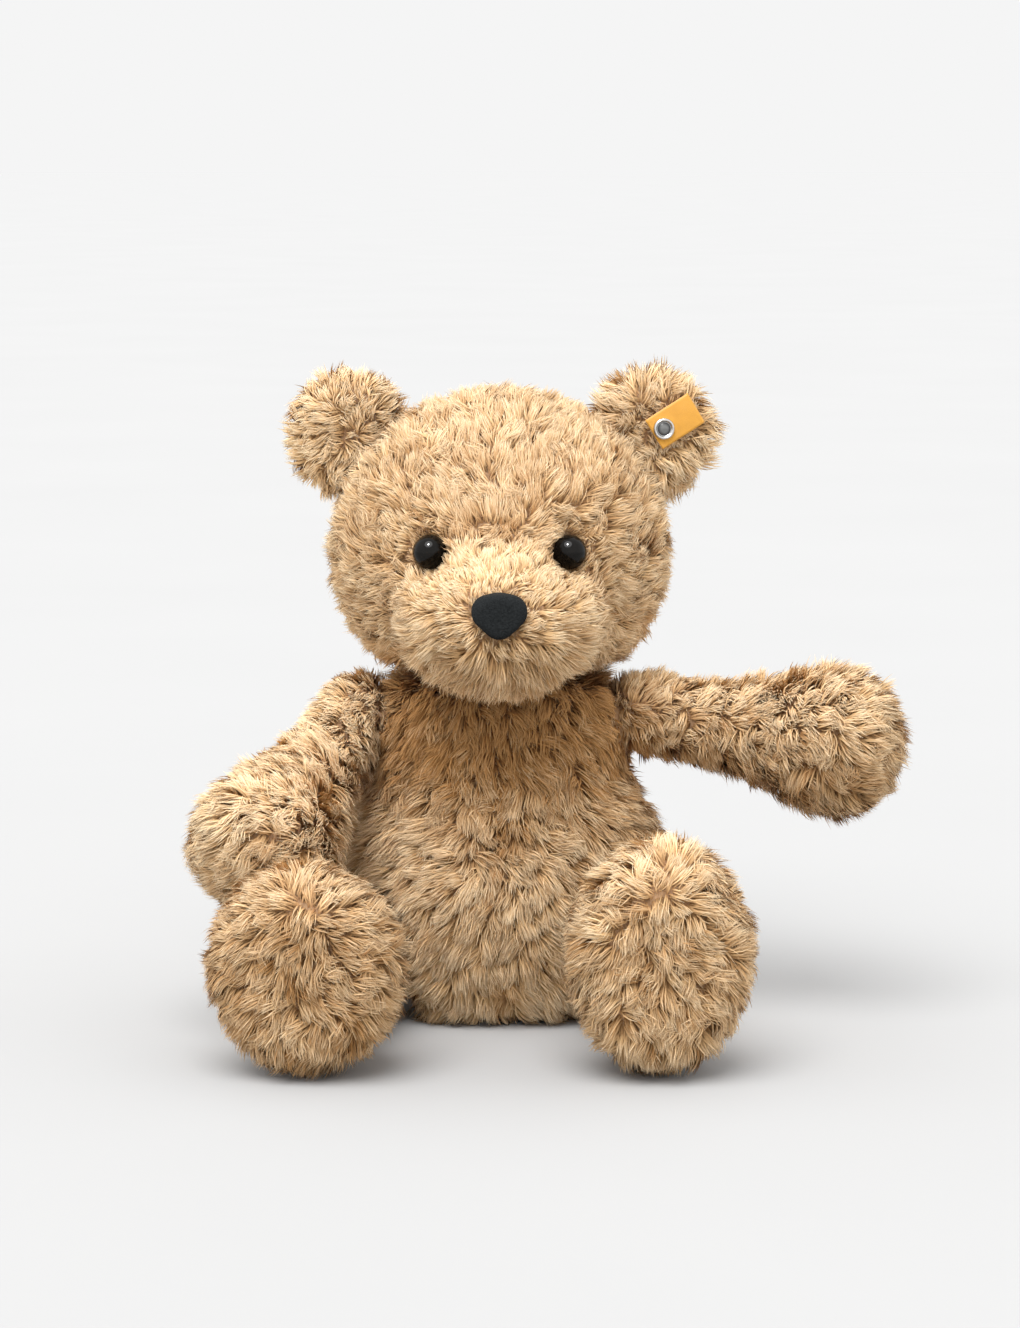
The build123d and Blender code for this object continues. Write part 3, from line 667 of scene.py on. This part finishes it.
JOINTS = {joint["name"]: joint for joint in frame["joints"]}
SHOULDERS = {side: Vector(JOINTS[f"{side}_shoulder_swivel"]["pos_m"]) for side in SIDES}
HIPS = {side: Vector(JOINTS[f"{side}_hip_swing"]["pos_m"]) for side in SIDES}
SOLES = {side: node_centre(f"foot_sole_{side}") for side in SIDES}
EYES = {side: node_centre(f"eye_{side}") for side in SIDES}
NOSE = Vector((node_centre("nose").x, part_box("nose")[0].y, node_centre("nose").z))
EARS = {side: (node_centre(f"ear_front_{side}") + node_centre(f"ear_back_{side}")) / 2 for side in SIDES}
SIDE_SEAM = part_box("torso_front_left")[1].y


def near(points, place):
    """Distance from each point to a place."""
    return np.linalg.norm(points - np.array(place), axis=1)


def fade(value, start, end):
    """0 below start, 1 above end, and smooth between."""
    share = np.clip((value - start) / (end - start), 0, 1)
    return share * share * (3 - 2 * share)


def frontal_gap(points, place, narrowing):
    """Distance from a place as seen from the front, scaled along X and Z. The back counts as far away."""
    apart = (points - np.array(place))[:, [0, 2]] * narrowing
    return np.linalg.norm(apart, axis=1) + FAR * (points[:, 1] > 0)


def plain_look(points, length, tint, tousle, spacing=LOCK_SPACING):
    """A pile that is the same all over."""
    full = np.ones(len(points))
    return {"length": full * length, "tint": full * tint, "tousle": full * tousle,
            "density": full, "spacing": spacing}


# ------------------------------------------------------------------ head

def head_comb(points, normals):
    """From the nose outwards on the muzzle, up and back over the brow, and down behind the ears."""
    from_nose = unit(points - np.array(NOSE))
    back = unit(points - np.array(SKULL_PARTING))
    behind = fade(points[:, 1], -0.030, 0.020)[:, None]
    skull = back * (1 - behind) + np.array([0, 0.15, -1.0]) * behind
    share = fade(near(points, NOSE), 0.045, 0.075)[:, None]
    return from_nose * (1 - share) + skull * share


def head_look(points, normals):
    """Clipped on the muzzle but long on the chin, bare under eyes and nose, with painted shade ringing the eyes
    and a band of painted shade in the crease above the muzzle.
    """
    look = plain_look(points, **HEAD_PILE)
    muzzle = 1 - fade(near(points, NOSE), *MUZZLE)
    upper = fade(points[:, 2], 0.172, 0.192)
    look["length"] += muzzle * (3.5 - 6.5 * upper) * MM
    look["tint"] += muzzle * (0.04 + 0.28 * upper)
    look["tousle"] -= muzzle * 0.55
    crown = fade(points[:, 2], 0.22, 0.26)
    cheeks = fade(np.abs(points[:, 0]), 0.045, 0.065)
    look["tint"] += 0.06 * crown + 0.10 * cheeks
    look["density"] *= fade(near(points, NOSE), *NOSE_CLEAR)
    look["length"] *= 0.45 + 0.55 * fade(near(points, NOSE), 0.013, 0.028)
    for eye in EYES.values():
        gap = frontal_gap(points, eye, EYE_NARROWING)
        look["density"] *= fade(gap, *EYE_CLEAR)
        look["length"] *= 0.35 + 0.65 * fade(gap, 0.008, 0.021)
        # Painted shade: the pile tints darker close round each eye, where the eyes sink into the fur.
        look["tint"] -= 0.16 * (1 - fade(gap, 0.007, 0.014))
    brow = frontal_gap(points, *BROW_CREASE_SHADE)
    # Painted shade: a darker band in the crease between the eyes, above the muzzle.
    look["tint"] -= 0.42 * (1 - fade(brow, 0.003, 0.010))
    look["length"] *= 0.65 + 0.35 * fade(brow, 0.003, 0.012)
    return look


def head_inset(points):
    """How far the skin stands inside the CAD covers: least by the nose and eyes, where the pile is short."""
    depth = 6.5 - 4.0 * (1 - fade(near(points, NOSE), 0.014, 0.036))
    for eye in EYES.values():
        depth -= 1.0 * (1 - fade(near(points, eye), 0.010, 0.022))
    return depth * MM


def head_seams(points):
    """The gusset's two seams."""
    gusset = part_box("head_gusset")[1].x
    return np.abs(np.abs(points[:, 0]) - gusset) < SEAM_HALF_WIDTH


def head():
    """The head's skin and pile."""
    nodes = ["head_side_left", "head_side_right", "head_gusset", "muzzle_cover", "head_stuffing"]
    skin = make_skin("head", "head", nodes, inset=head_inset, fill=STUFFING["head"], on_seam=head_seams)
    grow_pile("head", "head", skin, head_comb, head_look, 1)


# ------------------------------------------------------------------ ears

def ear(side, seed):
    """A cupped ear's skin and pile, with room for the button and tag on the left one."""
    centre = EARS[side]

    def comb(points, normals):
        outwards = unit(points - np.array(centre))
        return outwards + np.array([0, 0, -0.25])

    def look(points, normals):
        style = plain_look(points, EAR_PILE_LENGTH[side], **EAR_PILE)
        cup = (normals[:, 1] < -0.5) & (near(points, centre) < 0.020)
        # Painted shade: the pile in the ear's front hollow is tinted darker.
        style["tint"] -= 0.16 * cup
        style["length"] -= 2.0 * MM * cup
        if side == "left":
            by_tag = near(points, node_centre("ear_tag")) < 0.0125
            by_button = near(points, node_centre("ear_button")) < 0.013
            pressed = (normals[:, 1] < 0) & (by_tag | by_button)
            style["length"] *= np.where(pressed, 0.45, 1.0)
        return style

    nodes = [f"ear_front_{side}", f"ear_back_{side}"]
    root = (EAR_ROOT_PLACE[0] * centre.x, centre.y, EAR_ROOT_PLACE[1])
    skin = make_skin(f"ear_{side}", "head", nodes, inset=SKIN_INSET["ear"], fill=STUFFING["ear"], rounds=3,
                     extra=[(root, EAR_ROOT)], on_seam=panel_seam(*nodes))
    grow_pile(f"ear_{side}", "head", skin, comb, look, seed)


# ------------------------------------------------------------------ torso

def torso_comb(points, normals):
    """Down the chest, and down and outwards on the belly."""
    down = np.zeros_like(points)
    down[:, 2] = -1
    outwards = np.zeros_like(points)
    outwards[:, 0] = np.sign(points[:, 0]) * np.clip(np.abs(points[:, 0]) / 0.03, 0, 1)
    belly = 1 - fade(points[:, 2], 0.085, 0.115)
    return down + outwards * (0.15 + 0.55 * belly)[:, None]


def torso_look(points, normals):
    """Caramel chest darkened further by painted shade under the head, paler belly, a dark dart between them, a
    darker seam, and bare inside the arms.
    """
    look = plain_look(points, **TORSO_PILE)
    front = normals[:, 1] < -0.3
    # Own caramel colour and painted shade: the chest is tinted much darker, both for its caramel pile and for the
    # shade under the head.
    chest = fade(points[:, 2], 0.080, 0.125) * (normals[:, 1] < 0)
    look["tint"] -= 0.63 * chest
    seam = 1 - fade(np.abs(points[:, 0]), 0.001, 0.005)
    look["tint"] -= 0.26 * seam * front
    look["length"] *= 1 - 0.25 * seam * front
    low = 1 - fade(points[:, 2], 0.06, 0.09)
    look["tint"] += 0.12 * low
    dart = frontal_gap(points, *CHEST_DART)
    look["tint"] -= 0.28 * (1 - fade(dart, 0.004, 0.020)) * front
    look["length"] *= 1 - 0.30 * (1 - fade(dart, 0.003, 0.014)) * front
    for shoulder in SHOULDERS.values():
        look["density"] *= fade(near(points, shoulder), *SHOULDER_CLEAR)
        look["length"] *= 0.4 + 0.6 * fade(near(points, shoulder), 0.0190, 0.0280)
    return look


def torso_seams(points):
    """The seams down the middle of front and back and down both sides, and the whole base."""
    middle = np.abs(points[:, 0]) < SEAM_HALF_WIDTH
    sides = np.abs(points[:, 1] - SIDE_SEAM) < SEAM_HALF_WIDTH
    return middle | sides | (points[:, 2] < BASE_HEIGHT)


def torso():
    """The torso's skin and pile."""
    nodes = ["torso_base", "torso_stuffing"]
    nodes += [f"torso_{face}_{side}" for face in ("front", "back") for side in SIDES]
    centre, semis = SHOULDER_PAD
    pads = [((centre[0] * sign, centre[1], centre[2]), semis) for sign in SIDES.values()]
    skin = make_skin("torso", "torso", nodes, inset=SKIN_INSET["torso"], fill=STUFFING["torso"],
                     extra=pads, on_seam=torso_seams)
    grow_pile("torso", "torso", skin, torso_comb, torso_look, 2)


# ------------------------------------------------------------------ arms and legs

def arm(side, seed):
    """An arm's skin and pile."""
    shoulder = SHOULDERS[side]

    def comb(points, normals):
        return np.broadcast_to(np.array([SIDES[side], -0.12, -0.42]), points.shape)

    def look(points, normals):
        style = plain_look(points, tint=ARM_TINT_WITH_PAINTED_LIGHT[side], **ARM_PILE)
        # Painted light and shade: the top of the arm is tinted paler as if lit from above, and its underside
        # darker.
        under, top = normals[:, 2] < -0.3, normals[:, 2] > 0.3
        style["tint"] += 0.20 * top - 0.15 * under
        # Painted shade: darker pile by the shoulder, where the arm meets the body.
        style["tint"] -= 0.15 * (1 - fade(near(points, shoulder), 0.015, 0.035))
        style["length"] -= 3.0 * MM * (1 - fade(near(points, shoulder), 0.020, 0.050))
        return style

    def inset(points):
        return (3.5 + 3.0 * fade(near(points, shoulder), 0.050, 0.100)) * MM

    nodes = [f"arm_outer_{side}", f"arm_inner_{side}", f"arm_stuffing_{side}"]
    skin = make_skin(f"arm_{side}", f"{side}_arm", nodes, inset=inset, fill=STUFFING["arm"],
                     extra=[(shoulder, ARM_END)], on_seam=panel_seam(*nodes[:2]))
    grow_pile(f"arm_{side}", f"{side}_arm", skin, comb, look, seed)


def leg(side, seed):
    """A leg's skin and pile, with its foot. The sole's pile is combed outwards and down."""
    hip, sole = HIPS[side], SOLES[side]
    seams = [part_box(f"{part}_{side}")[1].y for part in ("foot_cover", "foot_sole")]

    def comb(points, normals):
        along = np.array((Vector((sole.x, sole.y, hip.z)) - hip).normalized())
        outwards = (points - np.array(sole)) / SOLE_RADIUS
        outwards[:, 1] = 0
        foot = fade(-points[:, 1], 0.095, 0.125)[:, None]
        return along * (1 - foot) + (outwards * 0.7 + np.array([0, 0, -0.45])) * foot

    def look(points, normals):
        style = plain_look(points, tint=LEG_TINT[side], **LEG_PILE)
        # Painted light: the pile higher up the leg, where light from above falls, is tinted paler.
        top = fade(points[:, 2], 0.060, 0.090)
        style["tint"] += 0.36 * top
        return style

    def on_seam(points):
        gaps = np.abs(points[:, 1:2] - np.array(seams))
        return (gaps < SEAM_HALF_WIDTH).any(axis=1)

    nodes = [f"leg_cover_{side}", f"foot_cover_{side}", f"foot_sole_{side}", f"leg_stuffing_{side}"]
    skin = make_skin(f"leg_{side}", f"{side}_leg", nodes, inset=SKIN_INSET["leg"], fill=STUFFING["leg"],
                     on_seam=on_seam)
    grow_pile(f"leg_{side}", f"{side}_leg", skin, comb, look, seed)


# ------------------------------------------------------------------ small parts

def link_piece(name, mesh, body, slot, material, *replaced):
    """Adds a finished mesh as a piece that stands for CAD nodes."""
    obj = new_object(name, mesh)
    mesh.materials.clear()
    mesh.materials.append(material)
    mesh.shade_smooth()
    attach(obj, body)
    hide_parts(*replaced)
    return obj


def tag_axes():
    """The tag's middle and its unit vectors along, across and out of the ear, read from the CAD solid."""
    points = coordinates_of(frame["nodes"]["ear_tag"].data).astype(float)
    middle = (points.min(0) + points.max(0)) / 2
    _, _, axes = np.linalg.svd(points - points.mean(0), full_matrices=False)
    along = axes[0] * np.sign(axes[0][0])
    across = axes[1] * np.sign(axes[1][2])
    out = np.cross(along, across)
    return middle, along, across, out * -np.sign(out[1])


def flocked_nose():
    """The nose with its edges rounded off, as flocked plastic."""
    obj = joined_copy("nose_flocked", ["nose"])
    remesh(obj, NOSE_VOXEL)
    smooth(obj, NOSE_ROUNDING)
    mesh = obj.data
    bpy.data.objects.remove(obj)
    material = speckled_material("nose_flock", (0.003, 0.004, 0.0045), (0.014, 0.016, 0.017),
                                 1500, 0.85, bump_depth=0.6 * MM, Specular_IOR_Level=0.12)
    link_piece("nose_flocked", mesh, "head", "nose", material, "nose")


def woven_tag():
    """A plain woven ribbon, folded double, that stands a little off the ear at its free end."""
    middle, along, across, out = tag_axes()
    width, length = TAG_FLAT
    gather = bmesh.new()
    grid = []
    for column in range(TAG_COLUMNS + 1):
        u = column / TAG_COLUMNS
        lift = TAG_BOW * math.sin(math.pi * (u - 0.25)) * u - TAG_DROOP * u
        line = []
        for row in range(TAG_ROWS + 1):
            v = row / TAG_ROWS - 0.5
            cup = TAG_CUP * math.cos(math.pi * v) * u
            place = middle + along * (u - 0.5) * length + across * v * width + out * (lift + cup)
            line.append(gather.verts.new(place))
        grid.append(line)
    for line, following in zip(grid, grid[1:]):
        for row in range(TAG_ROWS):
            gather.faces.new((line[row], following[row], following[row + 1], line[row + 1]))
    mesh = finished_mesh("ear_tag_woven", gather)
    material = woven_material("tag_weave", *TAG_ORANGES, TAG_WEAVE_SCALE)
    obj = link_piece("ear_tag_woven", mesh, "head", "tag", material, "ear_tag")
    solid = obj.modifiers.new("thickness", "SOLIDIFY")
    solid.thickness = TAG_THICKNESS
    solid.offset = 0.0
    apply_modifiers(obj)
    obj.data.shade_smooth()


def button_material(middle, radius):
    """Polished steel, darker grey in the middle, with painted shade darkening the recess inside the rim, and a
    pale rim.
    """
    material, shader = new_material("button_steel", roughness=0.22, Metallic=1.0)
    tree = material.node_tree
    coordinates = tree.nodes.new("ShaderNodeTexCoord")
    distance = tree.nodes.new("ShaderNodeVectorMath")
    distance.operation = "DISTANCE"
    distance.inputs[1].default_value = middle
    share = tree.nodes.new("ShaderNodeMath")
    share.operation = "DIVIDE"
    share.inputs[1].default_value = radius
    tint = ramp_node(tree, BUTTON_GREYS_WITH_RECESS_SHADE)
    tree.links.new(coordinates.outputs["Object"], distance.inputs[0])
    tree.links.new(distance.outputs["Value"], share.inputs[0])
    tree.links.new(share.outputs[0], tint.inputs["Fac"])
    tree.links.new(tint.outputs["Color"], shader.inputs["Base Color"])
    return material


def lathe(name, rings, centre, axes):
    """A turned part from (radius, height) rings, on two unit vectors across it and one along it."""
    across, up, out = axes
    gather = bmesh.new()
    loops = []
    for radius, height in rings:
        loop = []
        for number in range(BUTTON_SEGMENTS if radius > 0 else 1):
            angle = 2 * math.pi * number / BUTTON_SEGMENTS
            spoke = across * math.cos(angle) + up * math.sin(angle)
            loop.append(gather.verts.new(centre + out * height + radius * spoke))
        loops.append(loop)
    for inner, outer in zip(loops, loops[1:]):
        for number in range(BUTTON_SEGMENTS):
            ahead = (number + 1) % BUTTON_SEGMENTS
            corners = [inner[number % len(inner)], outer[number % len(outer)],
                       outer[ahead % len(outer)], inner[ahead % len(inner)]]
            gather.faces.new(list(dict.fromkeys(corners)))
    bmesh.ops.recalc_face_normals(gather, faces=gather.faces)
    return finished_mesh(name, gather)


def domed_button():
    """The rivet: a cap with a raised rim and a domed middle, its shank, and the disc behind the ear."""
    _, along, across, out = tag_axes()
    points = coordinates_of(frame["nodes"]["ear_button"].data).astype(float)
    centre = np.zeros(3)
    for axis in (along, across):
        reach = points @ axis
        centre += axis * (reach.min() + reach.max()) / 2
    front, back = (points @ out).max(), (points @ out).min()
    radius = np.ptp(points @ along) / 2
    from_front, from_back = (*BUTTON_CAP, BUTTON_SHANK[0]), (BUTTON_SHANK[1], *BUTTON_BACK)
    rings = [(share * radius, front + rise * BUTTON_HEIGHT) for share, rise in from_front]
    rings += [(share * radius, back + rise * BUTTON_HEIGHT) for share, rise in from_back]
    mesh = lathe("ear_button_domed", rings, centre, (along, across, out))
    material = button_material(Vector(centre + out * front), radius)
    link_piece("ear_button_domed", mesh, "head", "button_metal", material, "ear_button")


def finish_cad_nodes():
    """Materials of the CAD nodes that stay: the eyes and the hardware inside."""
    materials = {
        "eye": speckled_material("eye_gloss", (0.003, 0.0025, 0.002), (0.007, 0.006, 0.005), 300, 0.06,
                                 Specular_IOR_Level=0.16),
        "disc": speckled_material("hardboard", (0.20, 0.11, 0.05), (0.34, 0.20, 0.10), 500, 0.8,
                                  bump_depth=0.2 * MM),
        "washer": speckled_material("washer_plastic", (0.74, 0.73, 0.70), (0.84, 0.83, 0.80), 200, 0.4),
        "steel": speckled_material("zinc_steel", (0.40, 0.40, 0.42), (0.60, 0.60, 0.62), 700, 0.35,
                                   Metallic=1.0),
    }
    slots = {part["node"]: part["material_slot"] for part in frame["record"]["subparts"]}
    for node, obj in frame["nodes"].items():
        material = materials.get(slots[node])
        if material is not None:
            obj.data.materials.clear()
            obj.data.materials.append(material)


# ------------------------------------------------------------------ stage

def pale_floor():
    """A pale matt floor, far larger than the picture."""
    mesh = bpy.data.meshes.new("floor")
    corners = [(FLOOR_SIZE * x, FLOOR_SIZE * y, 0) for x, y in ((-1, -1), (1, -1), (1, 1), (-1, 1))]
    mesh.from_pydata(corners, [], [(0, 1, 2, 3)])
    dark, light = FLOOR_ALBEDO - FLOOR_GRAIN, FLOOR_ALBEDO + FLOOR_GRAIN
    material = speckled_material("pale_floor", (dark,) * 3, (light,) * 3, 3, 1.0, Specular_IOR_Level=0.0)
    mesh.materials.append(material)
    new_object("floor", mesh)


def surround():
    """A sphere that only the camera sees, as bright as the floor, so that no horizon shows."""
    gather = bmesh.new()
    bmesh.ops.create_icosphere(gather, subdivisions=3, radius=FLOOR_SIZE * 0.95)
    mesh = finished_mesh("surround", gather)
    obj = new_object("surround", mesh)
    obj.visible_diffuse = obj.visible_glossy = obj.visible_shadow = False
    obj.visible_transmission = obj.visible_volume_scatter = False
    white = (STUDIO_WHITE, STUDIO_WHITE, STUDIO_WHITE, 1)
    glow, _ = new_material("surround_glow", roughness=1.0, Base_Color=(0, 0, 0, 1), Emission_Color=white,
                           Emission_Strength=1.0, Specular_IOR_Level=0.0)
    mesh.materials.append(glow)


def soft_fill():
    """Even light from all round."""
    scene = bpy.context.scene
    scene.world = scene.world or bpy.data.worlds.new("studio")
    scene.world.use_nodes = True
    background = scene.world.node_tree.nodes["Background"]
    background.inputs["Color"].default_value = (1.0, 1.0, 1.0, 1)
    background.inputs["Strength"].default_value = FILL


def key_light(towards):
    """A broad sun, as strong as the floor needs to reach the studio's white."""
    sun = bpy.data.lights.new("key", "SUN")
    sun.energy = math.pi * (STUDIO_WHITE / FLOOR_ALBEDO - FILL) / towards.z
    sun.angle = KEY_SOFTNESS
    new_object("key", sun).rotation_euler = towards.to_track_quat("Z", "Y").to_euler()


def catchlight(towards):
    """A small round light from the key's direction, which only gloss shows."""
    spark = bpy.data.lights.new("catchlight", "POINT")
    spark.energy = CATCHLIGHT_WATTS
    spark.shadow_soft_size = CATCHLIGHT_RADIUS
    obj = new_object("catchlight", spark)
    obj.location = towards * CAMERA_DISTANCE
    obj.visible_diffuse = False


def front_camera():
    """The camera in front of the bear, a little above it."""
    camera = bpy.data.cameras.new("camera")
    camera.sensor_width = SENSOR_WIDTH
    camera.lens = SENSOR_WIDTH * CAMERA_DISTANCE / VIEW_HEIGHT
    obj = new_object("camera", camera)
    back = Vector((0, -math.cos(CAMERA_ELEVATION), math.sin(CAMERA_ELEVATION)))
    obj.location = CAMERA_TARGET + back * CAMERA_DISTANCE
    obj.rotation_euler = (-back).to_track_quat("-Z", "Y").to_euler()
    bpy.context.scene.camera = obj


def stage():
    """A pale seamless studio: floor, surround, soft fill, a key light from the upper left, and the camera."""
    pale_floor()
    surround()
    soft_fill()
    flat = math.cos(KEY_ELEVATION)
    towards = Vector((math.sin(KEY_AZIMUTH) * flat, -math.cos(KEY_AZIMUTH) * flat, math.sin(KEY_ELEVATION)))
    key_light(towards)
    catchlight(towards)
    front_camera()
    bpy.context.scene.view_settings.view_transform = "Standard"


stage()
finish_cad_nodes()
flocked_nose()
domed_button()
woven_tag()
head()
torso()
for number, side in enumerate(SIDES):
    ear(side, 10 + number)
    arm(side, 20 + number)
    leg(side, 30 + number)
